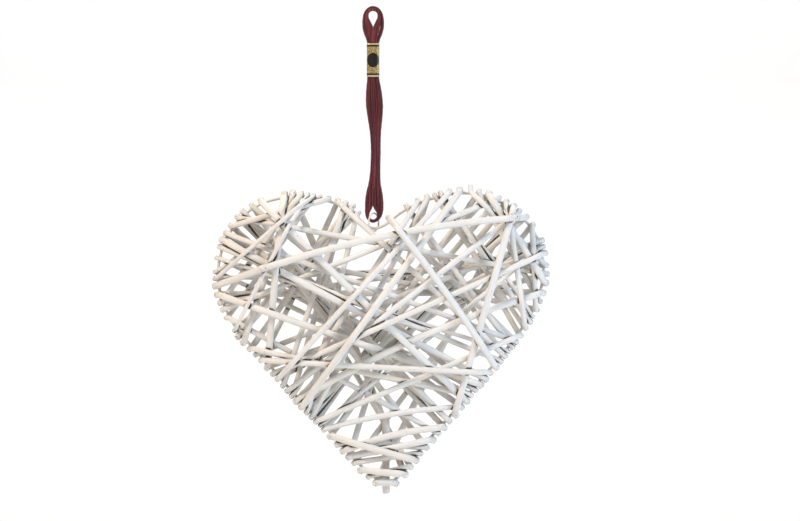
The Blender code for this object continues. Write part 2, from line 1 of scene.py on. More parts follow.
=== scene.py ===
"""Looks of the wicker heart ornament.

Painted willow rods wound on a wire heart, with the small hanging ring, the skein of
thread and its paper band. Lengths are in metres. The heart hangs in the XZ plane with
its front towards -Y, and the origin is the top of the skein's upper eye.
"""
import math

import bmesh
import bpy
import numpy as np
from bpy.props import FloatProperty, FloatVectorProperty, IntProperty, PointerProperty
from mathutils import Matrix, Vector
from mathutils.kdtree import KDTree


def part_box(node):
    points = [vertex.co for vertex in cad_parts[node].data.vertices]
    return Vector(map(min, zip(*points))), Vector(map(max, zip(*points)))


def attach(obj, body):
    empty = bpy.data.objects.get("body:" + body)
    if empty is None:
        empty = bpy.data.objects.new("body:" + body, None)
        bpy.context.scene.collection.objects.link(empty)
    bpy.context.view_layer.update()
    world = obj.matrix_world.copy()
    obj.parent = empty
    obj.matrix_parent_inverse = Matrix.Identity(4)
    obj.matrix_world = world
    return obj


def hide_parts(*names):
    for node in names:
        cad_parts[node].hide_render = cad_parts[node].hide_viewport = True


bl_info = {
    "name": "Wicker Heart Ornament",
    "version": (1, 0, 0),
    "blender": (4, 5, 0),
    "location": "3D View > Sidebar > Wicker Heart",
    "description": "Painted willow rods on a wire heart, hung by a skein of thread",
    "category": "Object",
}

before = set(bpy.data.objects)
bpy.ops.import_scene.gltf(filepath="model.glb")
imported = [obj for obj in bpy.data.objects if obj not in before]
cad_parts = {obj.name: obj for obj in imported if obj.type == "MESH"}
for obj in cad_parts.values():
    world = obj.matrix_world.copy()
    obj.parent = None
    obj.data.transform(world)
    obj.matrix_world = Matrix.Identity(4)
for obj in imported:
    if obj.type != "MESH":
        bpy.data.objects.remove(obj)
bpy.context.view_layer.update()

ROD_NODES = sorted(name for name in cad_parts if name.startswith("willow_rod_"))
# Points closer than this are merged
MERGE = 0.00002
# From the front of the heart to its back
BACKWARD = (0.0, 1.0, 0.0)


# Settings

class WillowSettings(bpy.types.PropertyGroup):
    sides: IntProperty(
        name="Sides", description="Points round each rod", default=14, min=6, max=32)
    ring_step: FloatProperty(
        name="Ring Step", description="Distance between rings along a rod",
        default=0.0014, unit="LENGTH")
    knot_gap: FloatProperty(
        name="Knot Spacing", description="Usual distance between bud scars on a rod",
        default=0.042, unit="LENGTH")
    knot_rise: FloatProperty(
        name="Knot Height", description="How far a bud scar stands out",
        default=0.00028, unit="LENGTH")
    roughness: FloatProperty(
        name="Unevenness", description="Share of its radius that a rod's surface varies by",
        default=0.035, min=0, max=0.2)
    paint: FloatVectorProperty(
        name="Paint", description="Colour of the paint", subtype="COLOR",
        default=(0.76, 0.735, 0.70), min=0, max=1)
    thin_paint: FloatVectorProperty(
        name="Thin Paint", description="Colour where the paint is thin over the willow",
        subtype="COLOR", default=(0.55, 0.49, 0.40), min=0, max=1)
    # Painted shade: a dark colour laid on the paint where rods lie close, for the shade that
    # falls between them
    painted_crevice_shade: FloatVectorProperty(
        name="Painted Crevice Shade", description="Colour of the painted shade between rods that lie close",
        subtype="COLOR", default=(0.21, 0.17, 0.135), min=0, max=1)
    # Also laid where rods lie closest, partly as willow that the paint did not reach and partly
    # as painted shade
    bare_willow: FloatVectorProperty(
        name="Bare Willow", description="Colour of the willow in pores and cracks",
        subtype="COLOR", default=(0.05, 0.036, 0.025), min=0, max=1)


class WireSettings(bpy.types.PropertyGroup):
    sides: IntProperty(
        name="Sides", description="Points round the wire", default=12, min=6, max=32)
    paint: FloatVectorProperty(
        name="Paint", description="Colour of the painted wire", subtype="COLOR",
        default=(0.71, 0.69, 0.65), min=0, max=1)
    steel: FloatVectorProperty(
        name="Bare Steel", description="Colour of the wire where the paint is chipped",
        subtype="COLOR", default=(0.21, 0.19, 0.17), min=0, max=1)


class ThreadSettings(bpy.types.PropertyGroup):
    turns: IntProperty(
        name="Turns", description="Turns of thread in the skein", default=24, min=4, max=40)
    thickness: FloatProperty(
        name="Thickness", description="Diameter of the stranded thread",
        default=0.0008, unit="LENGTH")
    sides: IntProperty(
        name="Sides", description="Points round the thread", default=8, min=5, max=16)
    ring_step: FloatProperty(
        name="Ring Step", description="Distance between rings along the thread",
        default=0.0016, unit="LENGTH")
    twist: FloatProperty(
        name="Twist", description="Length of one turn of the strands' twist",
        default=0.0052, unit="LENGTH")
    colour: FloatVectorProperty(
        name="Colour", description="Colour of the thread", subtype="COLOR",
        default=(0.20, 0.028, 0.038), min=0, max=1)


class BandSettings(bpy.types.PropertyGroup):
    paper: FloatProperty(
        name="Paper", description="Thickness of the paper", default=0.00022, unit="LENGTH")
    gold: FloatVectorProperty(
        name="Gold", description="Colour of the gold print", subtype="COLOR",
        default=(0.50, 0.375, 0.155), min=0, max=1)
    margin: FloatVectorProperty(
        name="Margin", description="Colour of the paper beyond the stripes",
        subtype="COLOR", default=(0.66, 0.53, 0.36), min=0, max=1)
    dark: FloatVectorProperty(
        name="Dark Print", description="Colour of the stripes and the oval",
        subtype="COLOR", default=(0.018, 0.013, 0.012), min=0, max=1)


class StageSettings(bpy.types.PropertyGroup):
    distance: FloatProperty(
        name="Camera Distance", description="From the camera to the heart's plane",
        default=1.7, unit="LENGTH")
    field: FloatProperty(
        name="Field Width", description="Width that the camera takes in at the heart",
        default=0.5936, unit="LENGTH")
    centre_x: FloatProperty(
        name="Camera X", description="The camera's place across", default=0.0200,
        unit="LENGTH")
    centre_z: FloatProperty(
        name="Camera Z", description="The camera's height", default=-0.1848,
        unit="LENGTH")
    backdrop: FloatVectorProperty(
        name="Backdrop", description="Colour of the floor and the wall it curves up into",
        subtype="COLOR", default=(0.93, 0.93, 0.93), min=0, max=1)


# Meshes

# Edges sharper than this stay sharp in the smooth shading
SHARP_EDGE = math.radians(50)
# Points that a smooth curve gets between two of its given points
SPAN_POINTS = 12


def straight_rod(rings, sides):
    """A straight capped rod along Z with a ring at each whole number from 0 up."""
    length = rings - 1
    bm = bmesh.new()
    bmesh.ops.create_cone(bm, cap_ends=True, segments=sides, radius1=1, radius2=1,
                          depth=length)
    bmesh.ops.translate(bm, verts=bm.verts, vec=(0, 0, length / 2))
    long_edges = [edge for edge in bm.edges
                  if abs(edge.verts[0].co.z - edge.verts[1].co.z) > length / 2]
    bmesh.ops.subdivide_edges(bm, edges=long_edges, cuts=rings - 2)
    return bm


def bend_rod(name, path, rise, half_width, half_depth, sides, relief=None, closed=False):
    """Bends a straight rod along a path, keeping its rise direction and half sizes.

    The rod's own straight coordinates, in metres, are kept as the rod_space attribute,
    so that grain and cracks follow the bent rod.
    """
    bm = straight_rod(len(path), sides)
    if closed:
        caps = [face for face in bm.faces if len(face.verts) > 4]
        bmesh.ops.delete(bm, geom=caps, context="FACES_ONLY")
    mesh = bpy.data.meshes.new(name)
    bm.to_mesh(mesh)
    bm.free()
    across, up, height = read_vectors(mesh.vertices, "co").T
    ring = np.clip(np.rint(height).astype(int), 0, len(path) - 1)
    ahead = directions(path, closed)
    side = np.cross(ahead, rise)
    side /= np.linalg.norm(side, axis=1)[:, None]
    rise = np.cross(side, ahead)
    run = run_along(path)
    swell = np.ones(len(ring)) if relief is None else relief(ring, across, up, run)
    own = np.stack([across * half_width[ring], up * half_depth[ring], run[ring]], axis=1)
    bent = (path[ring] + side[ring] * (own[:, 0] * swell)[:, None]
            + rise[ring] * (own[:, 1] * swell)[:, None])
    mesh.vertices.foreach_set("co", bent.astype(np.float32).ravel())
    kept = mesh.attributes.new("rod_space", "FLOAT_VECTOR", "POINT")
    kept.data.foreach_set("vector", own.astype(np.float32).ravel())
    mesh.update()
    finish_mesh(mesh, merge=closed)
    return bpy.data.objects.new(name, mesh)


def read_vectors(source, name):
    """The vectors of a mesh's points or of an attribute, one in each row."""
    values = np.empty(len(source) * 3, dtype=np.float32)
    source.foreach_get(name, values)
    return values.reshape(-1, 3).astype(float)


def keep_values(piece, name, values):
    """Keeps one number for each point as an attribute."""
    attribute = piece.data.attributes.new(name, "FLOAT", "POINT")
    attribute.data.foreach_set("value", values.astype(np.float32))


def finish_mesh(mesh, merge=False):
    """Points all faces outwards and shades them smooth, with sharp cut edges."""
    bm = bmesh.new()
    bm.from_mesh(mesh)
    if merge:
        bmesh.ops.remove_doubles(bm, verts=bm.verts, dist=MERGE)
    bmesh.ops.recalc_face_normals(bm, faces=bm.faces)
    bm.to_mesh(mesh)
    bm.free()
    mesh.shade_smooth()
    mesh.set_sharp_from_angle(angle=SHARP_EDGE)


def directions(path, closed=False):
    """The unit direction of travel at each point of a path."""
    if closed:
        around = path[:-1]
        step = np.roll(around, -1, axis=0) - np.roll(around, 1, axis=0)
        step = np.vstack([step, step[:1]])
    else:
        step = np.gradient(path, axis=0)
    return step / np.linalg.norm(step, axis=1)[:, None]


def run_along(path):
    """The distance travelled at each point of a path."""
    steps = np.linalg.norm(np.diff(path, axis=0), axis=1)
    return np.concatenate([[0], np.cumsum(steps)])


def even_path(points, step, closed=False):
    """A smooth curve through points, resampled at even steps."""
    points = np.asarray(points, dtype=float)
    if closed:
        points = np.vstack([points[-1:], points, points[:2]])
    else:
        points = np.vstack([2 * points[0] - points[1], points, 2 * points[-1] - points[-2]])
    dense = []
    t = np.linspace(0, 1, SPAN_POINTS, endpoint=False)[:, None]
    for p0, p1, p2, p3 in zip(points, points[1:], points[2:], points[3:]):
        span = np.linalg.norm(p2 - p1)
        start = weighted_direction(p0, p1, p2) * span
        end = weighted_direction(p1, p2, p3) * span
        dense.append((2 * t**3 - 3 * t**2 + 1) * p1 + (t**3 - 2 * t**2 + t) * start
                     + (3 * t**2 - 2 * t**3) * p2 + (t**3 - t**2) * end)
    dense = np.vstack(dense + [points[-2][None]])
    run = run_along(dense)
    count = int(round(run[-1] / step)) + 1
    return at_runs(dense, run, np.linspace(0, run[-1], count))


def weighted_direction(a, b, c):
    """A curve's direction at b, weighted towards its nearer neighbour."""
    first = np.linalg.norm(b - a)
    second = np.linalg.norm(c - b)
    return ((b - a) / first * second + (c - b) / second * first) / (first + second)


def at_runs(values, run, wanted):
    """Values given at distances along a path, read at other distances."""
    return np.stack([np.interp(wanted, run, values[:, k])
                     for k in range(values.shape[1])], axis=1)


def place(piece, material, slot, *nodes):
    """Links a finished piece, gives it its material, parents it to the root body and hides the
    CAD parts that it stands for.
    """
    bpy.context.scene.collection.objects.link(piece)
    piece.data.materials.append(material)
    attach(piece, "root")
    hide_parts(*nodes)


# The CAD rods, read back as rings

# On a cut end, faces within LEVEL are one patch, and its rim turns by more than SQUARE
LEVEL = math.radians(2)
SQUARE = math.radians(80)


def merged_copy(node):
    """A CAD node's mesh with its loose triangles joined."""
    bm = bmesh.new()
    bm.from_mesh(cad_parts[node].data)
    bmesh.ops.remove_doubles(bm, verts=bm.verts, dist=MERGE)
    bm.verts.index_update()
    return bm


def cut_end(bm):
    """The vertices of one flat cut end: a level patch with square corners all round."""
    for seed in bm.faces:
        patch, todo = {seed}, [seed]
        while todo:
            face = todo.pop()
            for edge in face.edges:
                for other in edge.link_faces:
                    if other not in patch and face.normal.angle(other.normal) < LEVEL:
                        patch.add(other)
                        todo.append(other)
        rim = [edge for face in patch for edge in face.edges
               if sum(other in patch for other in edge.link_faces) == 1]
        if rim and all(edge.calc_face_angle() > SQUARE for edge in rim):
            return {vert for edge in rim for vert in edge.verts}
    raise RuntimeError("a rod without a cut end")


def rod_rings(node):
    """Centre, half width, half depth and flat direction of each ring of a CAD rod."""
    bm = merged_copy(node)
    bm.normal_update()
    ring = cut_end(bm)
    seen, rings = set(ring), []
    while ring:
        points = np.array([v.co for v in sorted(ring, key=lambda v: v.index)])
        rings.append(read_ring(points))
        ring = {edge.other_vert(v) for v in ring for edge in v.link_edges} - seen
        seen |= ring
    bm.free()
    centre, width, depth, rise = (np.array(part) for part in zip(*rings))
    for k in range(1, len(rise)):
        if np.dot(rise[k], rise[k - 1]) < 0:
            rise[k] = -rise[k]
    return centre, width, depth, rise


def read_ring(points):
    """An oval ring's centre, half sizes and short direction, from its spread."""
    centre = points.mean(axis=0)
    values, axes = np.linalg.eigh(np.cov((points - centre).T, bias=True))
    return centre, math.sqrt(2 * values[2]), math.sqrt(2 * values[1]), axes[:, 1]


# Willow rods

# A rod's line is first laid out at this step
FINE = 0.0006
# CAD rings closer than this are where a rod turns over the wire
TURN_STEP = 0.0042
# How a turn fades into the straight rod: rounds of easing, and the gain after them
TURN_EASING = 40
TURN_GAIN = 1.6
# Rounds that ease the line, of which the first few ease the turns as well
LINE_EASING = 44
TURNS_EASED = 3
# How many more rings a turn gets than the straight rod, as a share
TURN_RINGS = 1.2
# The worn rim of a cut end: distances from the end, and shares of the rod's thickness
RIM_FROM_END = (0.0, 0.00018, 0.0005)
RIM_SHARE = (0.86, 0.97, 1.0)
# Unevenness as waves: share, lobes round the rod, and pace in radians for each metre
WAVES = ((1.0, 0, 130), (1.0, 0, 310), (0.8, 2, 90), (0.8, 3, -170), (0.5, 5, 420))
WAVE_SUM = 3.2
WAVE_PHASES = 12
# Bud scars: how many are laid out, where the first one is and how far apart they are
# in knot spacings, the turn from one to the next and how far it strays, and their shape
SCARS = 60
FIRST_SCAR = (0.2, 0.9)
SCAR_SPACING = (0.7, 1.3)
SCAR_TURN = math.pi * 0.8
SCAR_STRAY = (-0.5, 0.5)
SCAR_LENGTH = 0.0021
SCAR_SPREAD = 0.55
COLLAR_SHARE = 0.35
COLLAR_BEYOND = 0.0012
COLLAR_LENGTH = 0.0011
# Creases across a turn: pace in radians for each metre, slant and share
CREASE_PACE = 3100
CREASE_SLANT = 0.8
CREASE_SHARE = 0.018
# How far off another rod is looked for, and the gap that counts as a crevice
CREVICE_REACH = 0.0052
CREVICE_WIDTH = 0.0024
# A rod's own rings within this length make no crevice with it
OWN_LENGTH = 0.015
# Points deeper in another rod than this share of its radius count as lying there
INNERMOST = 0.2
ROD_SEED = 100


def rod_run(rings, step):
    """A rod's own line: its ring centres joined, eased at the bends, and resampled.

    Where the rod turns over the wire its rings are close, and there it is eased less
    and sampled more finely, so that it stays clear of the wire.
    """
    centre, width, depth, rise = rings
    run = run_along(centre)
    fine = np.linspace(0, run[-1], int(round(run[-1] / FINE)) + 1)
    path = at_runs(centre, run, fine)
    short = np.diff(run) < TURN_STEP
    segment = np.clip(np.searchsorted(run, fine) - 1, 0, len(run) - 2)
    turning = ease(short[segment].astype(float), TURN_EASING)
    turning = np.clip(turning * TURN_GAIN, 0, 1)
    for sweep in range(LINE_EASING):
        pull = 1 if sweep < TURNS_EASED else 1 - turning[1:-1, None]
        path[1:-1] += pull * ((path[:-2] + path[2:]) / 2 - path[1:-1]) / 2
    flat = at_runs(rise, run, fine)
    flat /= np.linalg.norm(flat, axis=1)[:, None]
    sizes = at_runs(np.stack([width, depth], axis=1), run, fine)
    run = run_along(path)
    pace = np.concatenate([[0], np.cumsum(np.diff(run) * (1 + TURN_RINGS * turning[1:]))])
    wanted = np.interp(np.linspace(0, pace[-1], int(round(pace[-1] / step)) + 1), pace, run)
    rim = np.array(RIM_FROM_END)
    wanted = np.unique(np.concatenate([rim, wanted[1:-1], run[-1] - rim]))
    return (at_runs(path, run, wanted), at_runs(flat, run, wanted),
            at_runs(sizes, run, wanted), np.interp(wanted, run, turning))


def ease(values, rounds):
    """Each value averaged with its neighbours, again and again."""
    values = values.copy()
    for _ in range(rounds):
        values[1:-1] = (values[:-2] + 2 * values[1:-1] + values[2:]) / 4
    return values


def rod_relief(settings, dice, turning, mean_half):
    """Returns the function that swells a rod's surface: bud scars and unevenness."""
    phases = dice.uniform(0, 2 * math.pi, WAVE_PHASES)
    first_scar = dice.uniform(*FIRST_SCAR) * settings.knot_gap
    scar_gaps = dice.uniform(*SCAR_SPACING, SCARS) * settings.knot_gap
    scar_places = first_scar + np.cumsum(scar_gaps)
    scar_sides = np.arange(SCARS) * SCAR_TURN + dice.uniform(*SCAR_STRAY, SCARS)

    def swell(ring, across, up, run):
        along = run[ring]
        angle = np.arctan2(up, across)
        wave = sum(share * np.sin(lobes * angle + pace * along + phase)
                   for (share, lobes, pace), phase in zip(WAVES, phases))
        out = 1 + settings.roughness * wave / WAVE_SUM
        for scar, facing in zip(scar_places, scar_sides):
            bud = np.exp(-((along - scar) / SCAR_LENGTH)**2)
            bud *= np.exp(-((1 - np.cos(angle - facing)) / SCAR_SPREAD)**2)
            collar = np.exp(-((along - scar - COLLAR_BEYOND) / COLLAR_LENGTH)**2)
            out += settings.knot_rise / mean_half * (bud + COLLAR_SHARE * collar)
        crease = np.sin(along * CREASE_PACE + phases[5] + CREASE_SLANT * np.sin(2 * angle))
        out += CREASE_SHARE * turning[ring] * crease
        from_end = np.minimum(along, run[-1] - along)
        return out * np.interp(from_end, RIM_FROM_END, RIM_SHARE)

    return swell


class Crevices:
    """Tells how closely the rods lie on one another: there the paint is darkened as painted
    shade, and partly left unpainted where little paint reaches.
    """

    def __init__(self, runs):
        self.owner = [k for k, run in enumerate(runs) for _ in run[0]]
        self.centre, self.rise, self.half = (
            np.vstack([run[part] for run in runs]) for part in range(3))
        self.ahead = np.vstack([directions(run[0]) for run in runs])
        self.side = np.cross(self.ahead, self.rise)
        self.along = np.concatenate([run_along(run[0]) for run in runs])
        self.tree = KDTree(len(self.centre))
        for index, point in enumerate(self.centre):
            self.tree.insert(point, index)
        self.tree.balance()

    def closeness(self, own, points, along):
        """From 0 to 1 for each point of one rod; its own next rings aren't counted."""
        pairs = [(k, index) for k, point in enumerate(points)
                 for _, index, _ in self.tree.find_range(point, CREVICE_REACH)
                 if self.owner[index] != own or abs(self.along[index] - along[k]) > OWN_LENGTH]
        mine, other = np.array(pairs).T
        away = points[mine] - self.centre[other]
        ahead = (away * self.ahead[other]).sum(axis=1)
        across = (away * self.side[other]).sum(axis=1)
        up = (away * self.rise[other]).sum(axis=1)
        share = np.hypot(across / self.half[other, 0], up / self.half[other, 1])
        gap = np.hypot(across, up) * (1 - 1 / np.maximum(share, INNERMOST))
        close = np.clip(1 - gap / CREVICE_WIDTH, 0, 1) * (np.abs(ahead) < CREVICE_WIDTH)
        closest = np.zeros(len(points))
        np.maximum.at(closest, mine, close)
        return closest


def make_willow_rods(context):
    settings = context.scene.heart_willow
    paint = willow_material(settings)
    runs = [rod_run(rod_rings(node), settings.ring_step) for node in ROD_NODES]
    crevices = Crevices(runs)
    for number, (node, run) in enumerate(zip(ROD_NODES, runs), start=1):
        path, flat, sizes, turning = run
        dice = np.random.default_rng(ROD_SEED + number)
        relief = rod_relief(settings, dice, turning, sizes.mean())
        rod = bend_rod(f"wound_rod_{number:02d}", path, flat, sizes[:, 0], sizes[:, 1],
                       settings.sides, relief)
        points = read_vectors(rod.data.vertices, "co")
        along = read_vectors(rod.data.attributes["rod_space"].data, "vector")[:, 2]
        keep_values(rod, "turning", np.interp(along, run_along(path), turning))
        keep_values(rod, "crevice", crevices.closeness(number - 1, points, along))
        keep_values(rod, "tone", np.full(len(points), dice.uniform(0, 1)))
        place(rod, paint, "painted_willow", node)


# Rod butt behind the tip

BUTT_RINGS = 34
BUTT_SIDES = 20
BUTT_SEED = 61
# Its slight bow: how far it swings and its pace in radians for each metre
BUTT_BOW = 0.00012
BUTT_BOW_PACE = 120
# Its thickness as a share of the CAD peg's, so that its relief stays inside
BUTT_SHARE = 0.985
BUTT_FINISH = {"turning": 0.25, "tone": 0.35, "crevice": 0.0}


def make_rod_butt(context):
    settings = context.scene.heart_willow
    low, high = (np.array(corner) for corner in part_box("tip_peg"))
    radius = (high[0] - low[0]) / 2
    path = np.tile((low + high) / 2, (BUTT_RINGS, 1))
    path[:, 2] = np.linspace(high[2], low[2], BUTT_RINGS)
    path[:, 0] += BUTT_BOW * np.sin(path[:, 2] * BUTT_BOW_PACE)
    rise = np.tile(BACKWARD, (BUTT_RINGS, 1))
    half = np.full(BUTT_RINGS, radius * BUTT_SHARE)
    dice = np.random.default_rng(BUTT_SEED)
    relief = rod_relief(settings, dice, np.zeros(BUTT_RINGS), radius)
    butt = bend_rod("rod_butt", path, rise, half, half, BUTT_SIDES, relief)
    for name, value in BUTT_FINISH.items():
        keep_values(butt, name, np.full(len(butt.data.vertices), value))
    place(butt, willow_material(settings), "painted_willow", "tip_peg")


# Wire frame and hanging ring

WIRE_STEP = 0.0025
# The CAD wire's edges shorter than this lie round it, and longer ones along it
ROUND_EDGE = 0.0016
RING_POINTS = 65


def make_frame_wire(context):
    settings = context.scene.heart_wire
    bm = merged_copy("frame_wire")
    centres = loop_centres(bm)
    bm.free()
    path = even_path(centres, WIRE_STEP, closed=True)
    rise = np.tile(BACKWARD, (len(path), 1))
    low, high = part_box("frame_wire")
    radius = np.full(len(path), (high[1] - low[1]) / 2)
    wire = bend_rod("heart_wire", path, rise, radius, radius, settings.sides, closed=True)
    place(wire, wire_material(settings), "painted_wire", "frame_wire")


def loop_centres(bm):
    """Ring centres of a closed tube, in order round it.

    The tube's rings are small circles set well apart, so the vertices that short edges
    join are one ring, and a long edge leads to the next.
    """
    owner, rings = {}, []
    for start in bm.verts:
        if start in owner:
            continue
        members, todo = [start], [start]
        owner[start] = len(rings)
        while todo:
            vert = todo.pop()
            for edge in vert.link_edges:
                other = edge.other_vert(vert)
                if other not in owner and edge.calc_length() < ROUND_EDGE:
                    owner[other] = len(rings)
                    members.append(other)
                    todo.append(other)
        rings.append(members)
    centres = [np.mean([tuple(v.co) for v in members], axis=0) for members in rings]
    order, here = [0], 0
    while True:
        nexts = sorted({owner[edge.other_vert(v)] for v in rings[here]
                        for edge in v.link_edges} - set(order))
        if not nexts:
            break
        here = nexts[0]
        order.append(here)
    return np.array([centres[k] for k in order])


def make_hanging_ring(context):
    """The ring's axle is the direction in which its CAD points spread least."""
    settings = context.scene.heart_wire
    low, high = (np.array(corner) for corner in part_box("hanging_ring"))
    middle = (low + high) / 2
    away = read_vectors(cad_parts["hanging_ring"].data.vertices, "co") - middle
    axle = np.linalg.eigh(away.T @ away)[1][:, 0]
    wire = abs(away @ axle).max()
    radius = (high[2] - low[2]) / 2 - wire
    level = np.cross(axle, [0.0, 0.0, 1.0])
    level /= np.linalg.norm(level)
    upright = np.cross(level, axle)
    turns = np.linspace(0, 2 * math.pi, RING_POINTS)[:, None]
    path = middle + radius * (np.cos(turns) * level + np.sin(turns) * upright)
    rise = np.tile(axle, (RING_POINTS, 1))
    half = np.full(RING_POINTS, wire)
    ring = bend_rod("small_ring", path, rise, half, half, settings.sides, closed=True)
    place(ring, wire_material(settings), "painted_wire", "hanging_ring")


# Skein of thread

# The edges of the skein's right side, top to bottom: outer x and z, inner x and z, and
# half the depth. Where an inner x is below 0, the two sides lie in one another.
SKEIN_EDGES = [
    (0.0000, 0.0045, 0.0000, 0.0002, 0.0026), (0.0036, 0.0037, 0.0018, -0.0004, 0.0026),
    (0.0062, 0.0014, 0.0032, -0.0019, 0.0025), (0.0079, -0.0028, 0.0034, -0.0042, 0.0024),
    (0.0084, -0.0080, 0.0015, -0.0076, 0.0023), (0.0082, -0.0128, -0.0007, -0.0113, 0.0022),
    (0.0068, -0.0172, -0.0012, -0.0155, 0.0024), (0.0050, -0.0210, -0.0007, -0.0203, 0.0026),
    (0.0041, -0.0245, -0.0005, -0.0245, 0.0028), (0.0040, -0.0360, -0.0005, -0.0360, 0.0028),
    (0.0041, -0.0470, -0.0005, -0.0470, 0.0028), (0.0049, -0.0520, -0.0005, -0.0520, 0.0027),
    (0.0061, -0.0610, -0.0005, -0.0610, 0.0025), (0.0065, -0.0700, -0.0005, -0.0700, 0.0024),
    (0.0055, -0.0800, -0.0005, -0.0800, 0.0025), (0.0043, -0.0890, -0.0005, -0.0890, 0.0026),
    (0.0039, -0.0980, -0.0005, -0.0980, 0.0027), (0.0038, -0.1085, -0.0005, -0.1085, 0.0027),
    (0.0039, -0.1190, -0.0005, -0.1190, 0.0027), (0.0047, -0.1280, -0.0005, -0.1285, 0.0026),
    (0.0063, -0.1345, -0.0010, -0.1345, 0.0025), (0.0072, -0.1395, -0.0014, -0.1400, 0.0024),
    (0.0076, -0.1440, -0.0012, -0.1440, 0.0024), (0.0076, -0.1480, 0.0004, -0.1466, 0.0024),
    (0.0069, -0.1512, 0.0029, -0.1496, 0.0025), (0.0057, -0.1538, 0.0034, -0.1516, 0.0026),
    (0.0038, -0.1557, 0.0023, -0.1536, 0.0026), (0.0018, -0.1567, 0.0010, -0.1542, 0.0026),
    (0.0000, -0.1570, 0.0000, -0.1544, 0.0026),
]
# How far the skein hangs to the right of the straight line: z and the distance
SKEIN_SWAY = [(-0.1570, 0.0), (-0.1430, 0.0004), (-0.1290, 0.0010), (-0.1180, 0.0016),
              (-0.1040, 0.0021), (-0.0920, 0.0019), (-0.0760, 0.0014), (-0.0600, 0.0006),
              (-0.0500, 0.0001), (-0.0240, 0.0), (0.0045, 0.0)]
# Rows that the edges are read at, and rounds that ease them
LOOP_ROWS = 120
EDGE_EASING = 3
# Each turn lies this many places further out than the last, and then inside again
PLACE_STEP = 7
# The threads cling together in strands: how many in each direction, and how closely
STRANDS_ACROSS = 3
STRANDS_DEEP = 3
GATHERED = 0.14
# Where on the loop a turn starts, and half the stretch in which it moves to its next
# place, as shares of the loop
TURN_START = 0.585
MOVE_SHARE = 0.05
# How far threads wander from their places, and how far the sides are shifted in depth
WANDER_ACROSS = 0.045
WANDER_DEEP = 0.12
DEPTH_SHIFT = 0.14
SKEIN_SEED = 4
# A thread keeps off the edges by its own radius, or by this share of a thin side
EDGE_MARGIN = 0.45
# How strongly the skein's depth falls off towards its outer edge
OUTER_ROUNDING = 0.72
# How far the two-lobed section of the twisted strands departs from round
TWIST_RELIEF = 0.13


def skein_path(settings):
    """The thread's line: turn after turn round both eyes, each in its own place."""
    turns = settings.turns
    right = even_rows(np.array(SKEIN_EDGES), LOOP_ROWS)
    left = right * [-1, 1, -1, 1, 1]
    loop = np.vstack([right, left[-2:0:-1]])
    around = len(loop)
    start = int(around * TURN_START)
    move_rows = 2 * int(around * MOVE_SHARE)
    out, deep, strand = thread_places(turns)
    dice = np.random.default_rng(SKEIN_SEED)
    wander = dice.uniform(0, 2 * math.pi, (turns + 1, 4))
    points = []
    for turn in range(turns):
        after = min(turn + 1, turns - 1)
        for k in range(around):
            here = (start + k) % around
            phase = 2 * math.pi * k / around
            fade = math.sin(phase / 2)**0.5
            move = np.clip((k - (around - move_rows)) / move_rows, 0, 1)
            move = move * move * (3 - 2 * move)
            u = out[turn] + (out[after] - out[turn]) * move
            v = deep[turn] + (deep[after] - deep[turn]) * move
            u += WANDER_ACROSS * fade * math.sin(3 * phase + wander[strand[turn], 0])
            v += WANDER_DEEP * fade * math.sin(2 * phase + wander[turn, 1])
            v += DEPTH_SHIFT * math.sin(2 * math.pi * here / around)
            points.append(thread_point(loop[here], u, v, settings.thickness / 2))
    path = even_path(np.array(points[::2]), settings.ring_step)
    heights, aside = np.array(SKEIN_SWAY).T
    path[:, 0] += np.interp(path[:, 2], heights, aside)
    return path


def thread_places(turns):
    """Each turn's share from the inner to the outer edge, its depth and its strand."""
    number = np.arange(turns)
    out = (number * PLACE_STEP % turns + 0.5) / turns
    deep = (number + 0.5) / turns * 2 - 1
    row = np.floor((deep + 1) / 2 * STRANDS_DEEP)
    stagger = 0.5 * (row % 2)
    column = np.floor(out * STRANDS_ACROSS + stagger)
    out += ((column + 0.5 - stagger) / STRANDS_ACROSS - out) * GATHERED
    deep += ((row + 0.5) / STRANDS_DEEP * 2 - 1 - deep) * GATHERED
    return out, deep, (row * (STRANDS_ACROSS + 1) + column).astype(int)


def even_rows(rows, count):
    """The skein's edge table, read at even steps of its middle line and eased."""
    middle = (rows[:, :2] + rows[:, 2:4]) / 2
    run = run_along(middle)
    return ease(at_runs(rows, run, np.linspace(0, run[-1], count)), EDGE_EASING)


def thread_point(edges, u, v, radius):
    """A point of a thread at a share u from the inner to the outer edge and v in depth."""
    outer, inner, depth = edges[0:2], edges[2:4], edges[4]
    u, v = np.clip(u, 0, 1), np.clip(v, -1, 1)
    margin = min(radius / np.linalg.norm(outer - inner), EDGE_MARGIN)
    x, z = inner + (outer - inner) * (margin + (1 - 2 * margin) * u)
    y = v * (depth - radius / 2) * math.sqrt(1 - OUTER_ROUNDING * u**2)
    return x, y, z


def make_thread_skein(context):
    settings = context.scene.heart_thread
    path = skein_path(settings)
    rise = np.tile(BACKWARD, (len(path), 1))
    half = np.full(len(path), settings.thickness / 2)

    def swell(ring, across, up, run):
        angle = np.arctan2(up, across)
        lay = 2 * math.pi * run[ring] / settings.twist
        return 1 + TWIST_RELIEF * np.cos(2 * angle - lay)

    thread = bend_rod("skein_thread", path, rise, half, half, settings.sides, swell)
    place(thread, thread_material(settings), "maroon_thread", "thread_skein")


# Paper band

BAND_CORNER = 0.0016
# The paper's grid of faces, round the band and down it
BAND_GRID = (96, 20)
# How far the paper laps over its own start, as a share of the way round
LAP = 0.10
# The share at which the lap begins to lift, the share that it takes, and its lift in
# thicknesses of the paper
LAP_FROM = 0.97
LAP_RAMP = 0.05
LAP_LIFT = 1.15
# The paper's inner side lies this many thicknesses inside the CAD band
BAND_INSET = 1.2
# How far the middle is drawn in and the edges are let out, as a share
BAND_WAIST = 0.012
# The paper's height as a share of the CAD band's
BAND_TALL = 0.998
# The cut edge's unevenness and its pace round the band
EDGE_WAVE = 0.00008
EDGE_WAVE_PACE = 23
# The seam stands this share of the back's straight part to the right of its middle
SEAM = 0.15


